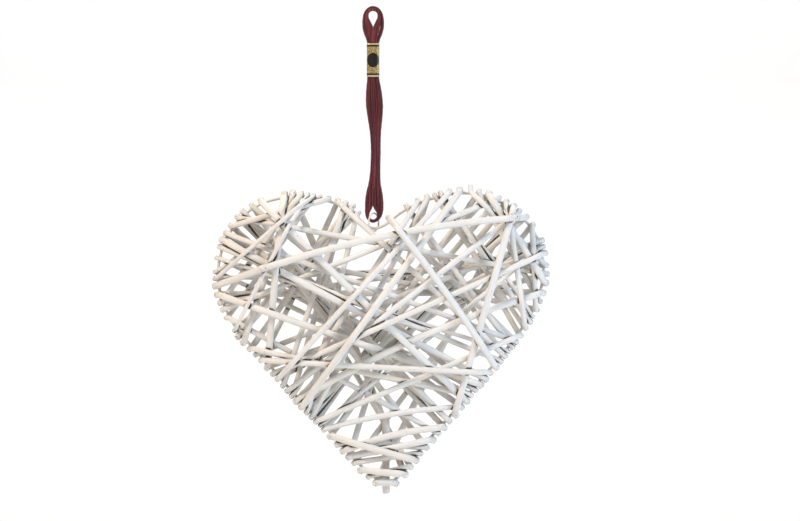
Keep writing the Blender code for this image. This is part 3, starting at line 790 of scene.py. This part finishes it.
def make_paper_band(context):
    settings = context.scene.heart_band
    low, high = (np.array(corner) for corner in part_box("paper_band"))
    middle, size = (low + high) / 2, high - low
    inset = settings.paper * BAND_INSET
    bm = bmesh.new()
    bmesh.ops.create_grid(bm, x_segments=BAND_GRID[0], y_segments=BAND_GRID[1], size=0.5)
    for vert in bm.verts:
        share, level = vert.co.x + 0.5, vert.co.y
        share_round = share * (1 + LAP)
        lift = max(0.0, min(1.0, (share_round - LAP_FROM) / LAP_RAMP))
        out = settings.paper * LAP_LIFT * lift - inset
        x, y = rounded_loop(share_round, size[0] / 2 + out, size[1] / 2 + out, BAND_CORNER)
        squeeze = 1 - BAND_WAIST * math.cos(level * 2 * math.pi)
        z = middle[2] + level * size[2] * BAND_TALL + EDGE_WAVE * math.sin(share * EDGE_WAVE_PACE)
        vert.co = (x * squeeze, y * squeeze, z)
    mesh = bpy.data.meshes.new("gold_band")
    bm.to_mesh(mesh)
    bm.free()
    finish_mesh(mesh)
    band = bpy.data.objects.new("gold_band", mesh)
    thick = band.modifiers.new("Paper", "SOLIDIFY")
    thick.thickness = settings.paper
    thick.offset = 1
    place(band, band_material(settings, middle), "band_paper", "paper_band")


def rounded_loop(share, half_width, half_depth, corner):
    """A point of a rounded rectangle, a share of the way round it from its seam."""
    straight_x, straight_y = 2 * (half_width - corner), 2 * (half_depth - corner)
    arc = corner * math.pi / 2
    total = 2 * (straight_x + straight_y) + 4 * arc
    left = (share % 1) * total
    here = Vector((SEAM * straight_x, half_depth))
    heading = Vector((-1, 0))
    for length, turn in (((0.5 + SEAM) * straight_x, 0), (arc, 1), (straight_y, 0), (arc, 1),
                         (straight_x, 0), (arc, 1), (straight_y, 0), (arc, 1),
                         ((0.5 - SEAM) * straight_x, 0)):
        inward = Vector((-heading.y, heading.x))
        go = min(left, length)
        if turn:
            angle = go / corner
            here = here + heading * (corner * math.sin(angle)) + inward * (
                corner * (1 - math.cos(angle)))
            heading = heading * math.cos(angle) + inward * math.sin(angle)
        else:
            here = here + heading * go
        left -= go
        if left <= 0:
            break
    return here


# Materials

class Recipe:
    """A material's node tree, with short ways to add the nodes used here."""

    def __init__(self, name):
        self.material = bpy.data.materials.new(name)
        self.material.use_nodes = True
        self.nodes = self.material.node_tree.nodes
        self.links = self.material.node_tree.links
        self.shader = self.nodes["Principled BSDF"]

    def add(self, kind, **values):
        node = self.nodes.new(kind)
        for name, value in values.items():
            setattr(node, name, value)
        return node

    def join(self, source, target):
        self.links.new(source, target)

    def object_space(self):
        return self.add("ShaderNodeTexCoord").outputs["Object"]

    def attribute(self, name, output):
        return self.add("ShaderNodeAttribute", attribute_name=name).outputs[output]

    def scaled(self, vector, scale):
        node = self.add("ShaderNodeMapping")
        node.inputs["Scale"].default_value = scale
        self.join(vector, node.inputs["Vector"])
        return node.outputs["Vector"]

    def pattern(self, space, repeats, detail, roughness):
        """Noise in a space of its own, with its repeats in a metre along each axis."""
        node = self.add("ShaderNodeTexNoise")
        node.inputs["Scale"].default_value = 1.0
        node.inputs["Detail"].default_value = detail
        node.inputs["Roughness"].default_value = roughness
        self.join(self.scaled(space, repeats), node.inputs["Vector"])
        return node.outputs["Fac"]

    def ramp(self, value, start, end):
        """Goes smoothly from 0 to 1 as the value goes from the start to the end."""
        node = self.add("ShaderNodeMapRange", interpolation_type="SMOOTHSTEP")
        node.inputs["From Min"].default_value = start
        node.inputs["From Max"].default_value = end
        self.join(value, node.inputs["Value"])
        return node.outputs["Result"]

    def math(self, operation, first, second=None):
        node = self.add("ShaderNodeMath", operation=operation)
        for socket, value in zip(node.inputs, (first, second)):
            if value is None:
                continue
            if isinstance(value, (int, float)):
                socket.default_value = value
            else:
                self.join(value, socket)
        return node.outputs[0]

    def mix(self, factor, first, second):
        """A colour between two, each a colour or a socket."""
        node = self.add("ShaderNodeMix", data_type="RGBA")
        for name, value in (("Factor", factor), ("A", first), ("B", second)):
            socket = [s for s in node.inputs if s.name == name and s.enabled][0]
            if isinstance(value, (int, float)):
                socket.default_value = value
            elif isinstance(value, bpy.types.NodeSocket):
                self.join(value, socket)
            else:
                socket.default_value = (*value, 1)
        return [s for s in node.outputs if s.enabled][0]

    def cover(self, body, colour, where, share):
        """Lays a colour over the body where a pattern says, at most at this share."""
        return self.mix(self.math("MULTIPLY", where, share), body, tuple(colour))

    def bump(self, height, distance, strength, under=None):
        node = self.add("ShaderNodeBump")
        node.inputs["Distance"].default_value = distance
        node.inputs["Strength"].default_value = strength
        self.join(height, node.inputs["Height"])
        if under is not None:
            self.join(under, node.inputs["Normal"])
        return node.outputs["Normal"]

    def finish(self, colour, normal, roughness):
        self.join(colour, self.shader.inputs["Base Color"])
        if normal is not None:
            self.join(normal, self.shader.inputs["Normal"])
        if isinstance(roughness, (int, float)):
            self.shader.inputs["Roughness"].default_value = roughness
        else:
            self.join(roughness, self.shader.inputs["Roughness"])
        return self.material


def tinted(colour, tint):
    """A colour times a tint, kept within the range of a base colour."""
    return tuple(min(1.0, part * share) for part, share in zip(colour, tint))


# Each pattern below holds its repeats in a metre, its detail and its roughness. On the
# rods and the thread the repeats are those across, through and along them.

# Willow paint
GRAIN = ((2600, 2600, 110), 4.0, 0.6)
BRUSH_MARKS = ((900, 900, 45), 3.0, 0.55)
PORES = ((1500, 1500, 620), 2.0, 0.5)
CRACKS = ((700, 700, 2100), 3.0, 0.7)
PATCHES = ((55, 55, 55), 3.0, 0.55)
# Where each of them begins to show, and where it shows in full
THIN_BRUSH = (0.56, 0.74)
THIN_PATCH = (0.42, 0.66)
OPEN_CRACK = (0.535, 0.63)
OPEN_PORE = (0.70, 0.75)
PORE_PATCH = (0.44, 0.58)
RAISED_GRAIN = (0.45, 0.8)
# The first range below is where the painted shade between close rods begins and where it is full
SHADED_CREVICE = (0.12, 0.85)
# Where rods lie closest the willow colour shows, partly as unpainted willow and partly as painted
# shade
UNPAINTED_AND_SHADE_CREVICE = (0.90, 1.05)
# How strongly the cracks' pattern breaks up a crevice's edge
CREVICE_BREAK_UP = 0.9
# How fully each of them covers the paint
BARE_COVER = 0.9
UNPAINTED_AND_SHADE_COVER = 0.95
THIN_COVER = 0.38
GRAIN_COVER = 0.10
# How fully the painted shade between close rods covers the paint
SHADED_COVER = 0.62
# Each rod's tone lies between these two tints of the paint
WARM_TINT = (1.0, 0.985, 0.955)
COOL_TINT = (0.985, 1.0, 1.03)
# Height and strength of each relief
GRAIN_RELIEF = (0.00012, 0.35)
BRUSH_RELIEF = (0.00035, 0.30)
BARE_RELIEF = (0.0002, 0.6)
# The least roughness, and how much the patches add to it
SATIN = (0.42, 0.22)


def willow_material(settings):
    """Satin off-white paint, brushed thinly on peeled willow, with painted shade between rods
    that lie close.
    """
    name = "painted_willow_finish"
    if name in bpy.data.materials:
        return bpy.data.materials[name]
    r = Recipe(name)
    rod = r.attribute("rod_space", "Vector")
    turning, tone, crevice = (r.attribute(kept, "Fac") for kept in ("turning", "tone", "crevice"))
    grain = r.pattern(rod, *GRAIN)
    brush = r.pattern(rod, *BRUSH_MARKS)
    patches = r.pattern(r.object_space(), *PATCHES)
    pores = r.pattern(rod, *PORES)
    cracks = r.pattern(rod, *CRACKS)
    thin = r.math("MULTIPLY", r.ramp(brush, *THIN_BRUSH), r.ramp(patches, *THIN_PATCH))
    worn = r.math("MULTIPLY", r.ramp(cracks, *OPEN_CRACK), turning)
    specks = r.math("MULTIPLY", r.ramp(pores, *OPEN_PORE), r.ramp(patches, *PORE_PATCH))
    # Where rods lie closest the willow colour is laid: partly willow that the paint did not
    # reach, partly painted shade
    broken = r.math("ADD", crevice, r.math("MULTIPLY", cracks, CREVICE_BREAK_UP))
    missed_paint_and_shade = r.ramp(broken, *UNPAINTED_AND_SHADE_CREVICE)
    bare_and_crevice_shade = r.math("MULTIPLY", r.math("MAXIMUM", worn, specks), BARE_COVER)
    bare_and_crevice_shade = r.math("MAXIMUM", bare_and_crevice_shade, r.math("MULTIPLY", missed_paint_and_shade, UNPAINTED_AND_SHADE_COVER))
    body = r.mix(tone, tinted(settings.paint, WARM_TINT), tinted(settings.paint, COOL_TINT))
    body = r.cover(body, settings.thin_paint, thin, THIN_COVER)
    body = r.cover(body, settings.thin_paint, r.ramp(grain, *RAISED_GRAIN), GRAIN_COVER)
    # Painted shade: darkens the paint where rods lie close together
    body = r.cover(body, settings.painted_crevice_shade, r.ramp(crevice, *SHADED_CREVICE), SHADED_COVER)
    body = r.mix(bare_and_crevice_shade, body, tuple(settings.bare_willow))
    relief = r.bump(grain, *GRAIN_RELIEF)
    relief = r.bump(brush, *BRUSH_RELIEF, relief)
    relief = r.bump(r.math("MULTIPLY", bare_and_crevice_shade, -1.0), *BARE_RELIEF, relief)
    satin = r.math("ADD", SATIN[0], r.math("MULTIPLY", patches, SATIN[1]))
    return r.finish(body, relief, satin)


# Wire paint
WIRE_CHIPS = ((420, 420, 420), 4.0, 0.65)
WIRE_DULLNESS = ((900, 900, 900), 2.0, 0.55)
OPEN_CHIP = (0.62, 0.66)
CHIP_COVER = 0.85
CHIP_RELIEF = (0.00012, 0.5)
# The least roughness, and how much dullness adds to it
WIRE_SATIN = (0.38, 0.2)


def wire_material(settings):
    """The same paint on steel wire, chipped here and there."""
    name = "painted_wire_finish"
    if name in bpy.data.materials:
        return bpy.data.materials[name]
    r = Recipe(name)
    space = r.object_space()
    chips = r.ramp(r.pattern(space, *WIRE_CHIPS), *OPEN_CHIP)
    dull = r.pattern(space, *WIRE_DULLNESS)
    body = r.cover(tuple(settings.paint), settings.steel, chips, CHIP_COVER)
    relief = r.bump(r.math("SUBTRACT", dull, chips), *CHIP_RELIEF)
    satin = r.math("ADD", WIRE_SATIN[0], r.math("MULTIPLY", dull, WIRE_SATIN[1]))
    return r.finish(body, relief, satin)


# Thread. The furrows between its strands lie in the skein's own space; they are painted shade,
# and the ridges between them painted highlights.
FIBRES = ((9000, 9000, 700), 3.0, 0.55)
# Dark patches along the threads: partly dye and partly painted shade
DYE_AND_PAINTED_SHADE = ((60, 60, 14), 2.0, 0.55)
FURROWS = ((520, 520, 16), 3.0, 0.6)
THREAD_STRANDS = 6.0
# Where each of them begins to show and where it shows in full, and how fully
STRAND_GROOVE = (-0.9, 0.6)
LIGHT_FIBRE = (0.4, 0.75)
DARK_SHADE = (0.42, 0.62)
DARK_FURROW = (0.50, 0.62)
LIGHT_FURROW = (0.48, 0.36)
FIBRE_COVER = 0.45
SHADE_COVER = 0.55
FURROW_COVER = 0.75
RIDGE_COVER = 0.55
# The thread's colour darkened for painted shade and lightened for painted highlights
PAINTED_SHADE_TINT = (0.30, 0.30, 0.30)
PAINTED_HIGHLIGHT_TINT = (1.9, 2.4, 2.2)
STRAND_RELIEF = (0.00012, 0.8)
FIBRE_RELIEF = (0.00006, 0.5)
COTTON_SHEEN = {"Sheen Weight": 0.12, "Sheen Roughness": 0.4,
                "Sheen Tint": (0.75, 0.45, 0.45, 1)}
COTTON_ROUGHNESS = 0.62


def thread_material(settings):
    """Stranded cotton: fine slanting strands with a soft sheen, painted shade in the grooves and
    furrows, and painted highlights on fibres and ridges.
    """
    r = Recipe("maroon_thread_finish")
    thread = r.attribute("rod_space", "Vector")
    split = r.add("ShaderNodeSeparateXYZ")
    r.join(thread, split.inputs[0])
    angle = r.math("ARCTAN2", split.outputs["Y"], split.outputs["X"])
    lay = r.math("MULTIPLY", split.outputs["Z"], 2 * math.pi / settings.twist)
    slant = r.math("MULTIPLY", r.math("SUBTRACT", angle, lay), THREAD_STRANDS)
    strand = r.math("SINE", slant)
    fibre = r.pattern(thread, *FIBRES)
    shade = r.pattern(thread, *DYE_AND_PAINTED_SHADE)
    furrow = r.pattern(r.object_space(), *FURROWS)
    # Darker and lighter copies of the thread's colour, for painted shade and painted highlights
    dark = tinted(settings.colour, PAINTED_SHADE_TINT)
    light = tinted(settings.colour, PAINTED_HIGHLIGHT_TINT)
    # Painted shade: the grooves between the twisted strands are darkened
    body = r.mix(r.ramp(strand, *STRAND_GROOVE), dark, tuple(settings.colour))
    # Painted highlight: fine fibres lightened as if catching the light
    body = r.cover(body, light, r.ramp(fibre, *LIGHT_FIBRE), FIBRE_COVER)
    # Dark patches along the threads: partly dye variation, partly painted shade between them
    body = r.cover(body, dark, r.ramp(shade, *DARK_SHADE), SHADE_COVER)
    # Painted shade in the furrows between strands, and painted highlights on the ridges
    body = r.cover(body, dark, r.ramp(furrow, *DARK_FURROW), FURROW_COVER)
    body = r.cover(body, light, r.ramp(furrow, *LIGHT_FURROW), RIDGE_COVER)
    relief = r.bump(strand, *STRAND_RELIEF)
    relief = r.bump(fibre, *FIBRE_RELIEF, relief)
    for name, value in COTTON_SHEEN.items():
        r.shader.inputs[name].default_value = value
    return r.finish(body, relief, COTTON_ROUGHNESS)


# Band print, from the band's middle
STRIPE_FROM_MIDDLE = 0.01055
STRIPE_HALF = 0.00068
MARGIN_FROM_MIDDLE = 0.01150
OVAL_HALF_WIDTH = 0.0045
OVAL_HALF_HEIGHT = 0.0054
OVAL_ABOVE_MIDDLE = -0.0001
# The print's soft edge, in metres on a stripe and as a share on the oval
PRINT_EDGE = 0.00006
OVAL_EDGE = (0.975, 1.025)
# Where the foil is dull and where it is rubbed, and their colours
FOIL = ((850, 850, 850), 3.0, 0.6)
RUBBING = ((520, 520, 520), 4.0, 0.7)
DULL_FOIL = (0.38, 0.62)
RUBBED = (0.60, 0.74)
DULL_TINT = (0.35, 0.35, 0.35)
RUBBED_GOLD = (0.62, 0.52, 0.33)
RUBBED_COVER = 0.35
MARGIN_COVER = 0.75
FOIL_RELIEF = (0.00006, 0.5)
FOIL_METAL = 0.35
# The least roughness, and how much rubbing adds to it
FOIL_ROUGHNESS = (0.36, 0.2)


def band_material(settings, middle):
    """Gold-printed paper with two dark stripes and a plain dark oval in front."""
    r = Recipe("gold_band_finish")
    space = r.object_space()
    split = r.add("ShaderNodeSeparateXYZ")
    r.join(space, split.inputs[0])
    x, y, z = (split.outputs[k] for k in "XYZ")
    above = r.math("SUBTRACT", z, float(middle[2]))
    off_middle = r.math("ABSOLUTE", above)
    off_stripe = r.math("ABSOLUTE", r.math("SUBTRACT", off_middle, STRIPE_FROM_MIDDLE))
    beside = r.ramp(off_stripe, STRIPE_HALF - PRINT_EDGE, STRIPE_HALF + PRINT_EDGE)
    stripe = r.math("SUBTRACT", 1.0, beside)
    wide = r.math("DIVIDE", x, OVAL_HALF_WIDTH)
    tall = r.math("DIVIDE", r.math("SUBTRACT", above, OVAL_ABOVE_MIDDLE), OVAL_HALF_HEIGHT)
    far = r.math("SQRT", r.math("ADD", r.math("MULTIPLY", wide, wide),
                                r.math("MULTIPLY", tall, tall)))
    oval = r.math("SUBTRACT", 1.0, r.ramp(far, *OVAL_EDGE))
    front = r.math("LESS_THAN", y, 0.0)
    dark = r.math("MAXIMUM", stripe, r.math("MULTIPLY", oval, front))
    foil = r.pattern(space, *FOIL)
    rub = r.ramp(r.pattern(space, *RUBBING), *RUBBED)
    margin = r.ramp(off_middle, STRIPE_FROM_MIDDLE, MARGIN_FROM_MIDDLE)
    gold = r.mix(r.ramp(foil, *DULL_FOIL), tuple(settings.gold),
                 tinted(settings.gold, DULL_TINT))
    gold = r.cover(gold, RUBBED_GOLD, rub, RUBBED_COVER)
    gold = r.cover(gold, settings.margin, margin, MARGIN_COVER)
    body = r.mix(dark, gold, tuple(settings.dark))
    relief = r.bump(foil, *FOIL_RELIEF)
    r.shader.inputs["Metallic"].default_value = FOIL_METAL
    dull = r.math("ADD", FOIL_ROUGHNESS[0], r.math("MULTIPLY", rub, FOIL_ROUGHNESS[1]))
    return r.finish(body, relief, dull)


# Backdrop
CLOUDS = ((3, 3, 3), 2.0, 0.55)
CLOUD_COLOUR = (0.85, 0.85, 0.86)
CLOUD_COVER = 0.05
BACKDROP_ROUGHNESS = 0.9


def backdrop_material(settings):
    """Matt pale card with faint clouds."""
    r = Recipe("backdrop_finish")
    clouds = r.pattern(r.object_space(), *CLOUDS)
    body = r.cover(tuple(settings.backdrop), CLOUD_COLOUR, clouds, CLOUD_COVER)
    return r.finish(body, None, BACKDROP_ROUGHNESS)


# Stage

SENSOR_WIDTH = 36
FLOOR_Z = -0.43
# The round floor's radius, its bend up into the wall, and the wall's top
STAGE_RADIUS = 2.7
STAGE_BEND = 0.6
STAGE_TOP = 2.3
BEND_POINTS = 17
STAGE_SIDES = 72
# The floor's inner ring, as a share of its flat part
INNER_RING = 0.4
# Lights: name, place, size, power, colour, and the point that it faces
LIGHTS = (
    ("key_light", (-0.46, -0.52, 0.48), 0.18, 7.5, (1.0, 0.85, 0.69), (-0.04, 0.0, -0.20)),
    ("cool_fill", (0.58, -0.46, 0.0), 0.26, 3.5, (0.61, 0.79, 1.0), (0.07, 0.0, -0.24)),
    ("backdrop_light", (0.0, 1.35, 1.7), 2.0, 44.0, (1.0, 1.0, 1.0), (0.0, 2.0, -0.43)),
)
SURROUND = {"Color": (0.97, 0.98, 1.0, 1), "Strength": 0.03}


def make_stage(context):
    settings = context.scene.heart_stage
    scene = context.scene
    lens = bpy.data.cameras.new("photo_camera")
    lens.sensor_width = SENSOR_WIDTH
    lens.lens = SENSOR_WIDTH * settings.distance / settings.field
    camera = bpy.data.objects.new("photo_camera", lens)
    camera.location = (settings.centre_x, -settings.distance, settings.centre_z)
    camera.rotation_euler = (math.pi / 2, 0, 0)
    scene.collection.objects.link(camera)
    scene.camera = camera
    make_backdrop(settings)
    for light in LIGHTS:
        add_light(*light)
    world = bpy.data.worlds.new("soft_surround")
    world.use_nodes = True
    for name, value in SURROUND.items():
        world.node_tree.nodes["Background"].inputs[name].default_value = value
    scene.world = world
    scene.view_settings.view_transform = "Standard"


def make_backdrop(settings):
    """A round pale floor that curves up into a wall, wide enough to walk the camera round."""
    bm = bmesh.new()
    bends = np.linspace(0, math.pi / 2, BEND_POINTS)
    flat = STAGE_RADIUS - STAGE_BEND
    profile = [(0.0, FLOOR_Z), (INNER_RING * flat, FLOOR_Z)]
    profile += [(flat + STAGE_BEND * math.sin(bend),
                 FLOOR_Z + STAGE_BEND * (1 - math.cos(bend))) for bend in bends]
    profile.append((STAGE_RADIUS, STAGE_TOP))
    verts = [bm.verts.new((x, 0, z)) for x, z in profile]
    edges = [bm.edges.new(pair) for pair in zip(verts, verts[1:])]
    bmesh.ops.spin(bm, geom=verts + edges, axis=(0, 0, 1), cent=(0, 0, 0),
                   angle=2 * math.pi, steps=STAGE_SIDES, use_merge=True)
    bmesh.ops.remove_doubles(bm, verts=bm.verts, dist=MERGE)
    bmesh.ops.recalc_face_normals(bm, faces=bm.faces)
    mesh = bpy.data.meshes.new("pale_floor")
    bm.to_mesh(mesh)
    bm.free()
    mesh.shade_smooth()
    floor = bpy.data.objects.new("pale_floor", mesh)
    floor.data.materials.append(backdrop_material(settings))
    bpy.context.scene.collection.objects.link(floor)


def add_light(name, spot, size, power, colour, target):
    """A square soft light that the camera doesn't see."""
    lamp = bpy.data.lights.new(name, "AREA")
    lamp.size = size
    lamp.energy = power
    lamp.color = colour
    light = bpy.data.objects.new(name, lamp)
    light.location = spot
    light.rotation_euler = (Vector(target) - Vector(spot)).to_track_quat("-Z", "Y").to_euler()
    light.visible_camera = False
    bpy.context.scene.collection.objects.link(light)


# Operators and panel

class HEART_OT_stage(bpy.types.Operator):
    """Sets up the camera, the lights, the floor and the backdrop"""
    bl_idname = "heart.stage"
    bl_label = "Stage"

    def execute(self, context):
        make_stage(context)
        return {"FINISHED"}


class HEART_OT_paper_band(bpy.types.Operator):
    """Wraps the gold paper band"""
    bl_idname = "heart.paper_band"
    bl_label = "Paper Band"

    def execute(self, context):
        make_paper_band(context)
        return {"FINISHED"}


class HEART_OT_thread_skein(bpy.types.Operator):
    """Winds the thread round both eyes of the skein"""
    bl_idname = "heart.thread_skein"
    bl_label = "Thread Skein"

    def execute(self, context):
        make_thread_skein(context)
        return {"FINISHED"}


class HEART_OT_frame_wire(bpy.types.Operator):
    """Makes the wire heart"""
    bl_idname = "heart.frame_wire"
    bl_label = "Frame Wire"

    def execute(self, context):
        make_frame_wire(context)
        return {"FINISHED"}


class HEART_OT_hanging_ring(bpy.types.Operator):
    """Makes the small ring at the notch"""
    bl_idname = "heart.hanging_ring"
    bl_label = "Hanging Ring"

    def execute(self, context):
        make_hanging_ring(context)
        return {"FINISHED"}


class HEART_OT_willow_rods(bpy.types.Operator):
    """Winds the painted willow rods"""
    bl_idname = "heart.willow_rods"
    bl_label = "Willow Rods"

    def execute(self, context):
        make_willow_rods(context)
        return {"FINISHED"}


class HEART_OT_rod_butt(bpy.types.Operator):
    """Makes the thick rod's butt behind the tip"""
    bl_idname = "heart.rod_butt"
    bl_label = "Rod Butt"

    def execute(self, context):
        make_rod_butt(context)
        return {"FINISHED"}


STEPS = (HEART_OT_stage, HEART_OT_paper_band, HEART_OT_thread_skein, HEART_OT_frame_wire,
         HEART_OT_hanging_ring, HEART_OT_willow_rods, HEART_OT_rod_butt)
SETTINGS = {"heart_willow": WillowSettings, "heart_wire": WireSettings,
            "heart_thread": ThreadSettings, "heart_band": BandSettings,
            "heart_stage": StageSettings}


class HEART_PT_panel(bpy.types.Panel):
    """Lists the ornament's pieces and their settings"""
    bl_idname = "HEART_PT_panel"
    bl_label = "Wicker Heart"
    bl_space_type = "VIEW_3D"
    bl_region_type = "UI"
    bl_category = "Wicker Heart"

    def draw(self, context):
        layout = self.layout
        for step in STEPS:
            layout.operator(step.bl_idname)
        for name, group in SETTINGS.items():
            box = layout.box()
            for value in group.__annotations__:
                box.prop(getattr(context.scene, name), value)


def register():
    for part in (*SETTINGS.values(), *STEPS, HEART_PT_panel):
        bpy.utils.register_class(part)
    for name, group in SETTINGS.items():
        setattr(bpy.types.Scene, name, PointerProperty(type=group))


def unregister():
    for name in SETTINGS:
        delattr(bpy.types.Scene, name)
    for part in reversed((*SETTINGS.values(), *STEPS, HEART_PT_panel)):
        bpy.utils.unregister_class(part)


def main():
    register()
    bpy.ops.heart.stage()
    bpy.ops.heart.paper_band()
    bpy.ops.heart.thread_skein()
    bpy.ops.heart.frame_wire()
    bpy.ops.heart.hanging_ring()
    bpy.ops.heart.willow_rods()
    bpy.ops.heart.rod_butt()


if __name__ == "__main__":
    main()
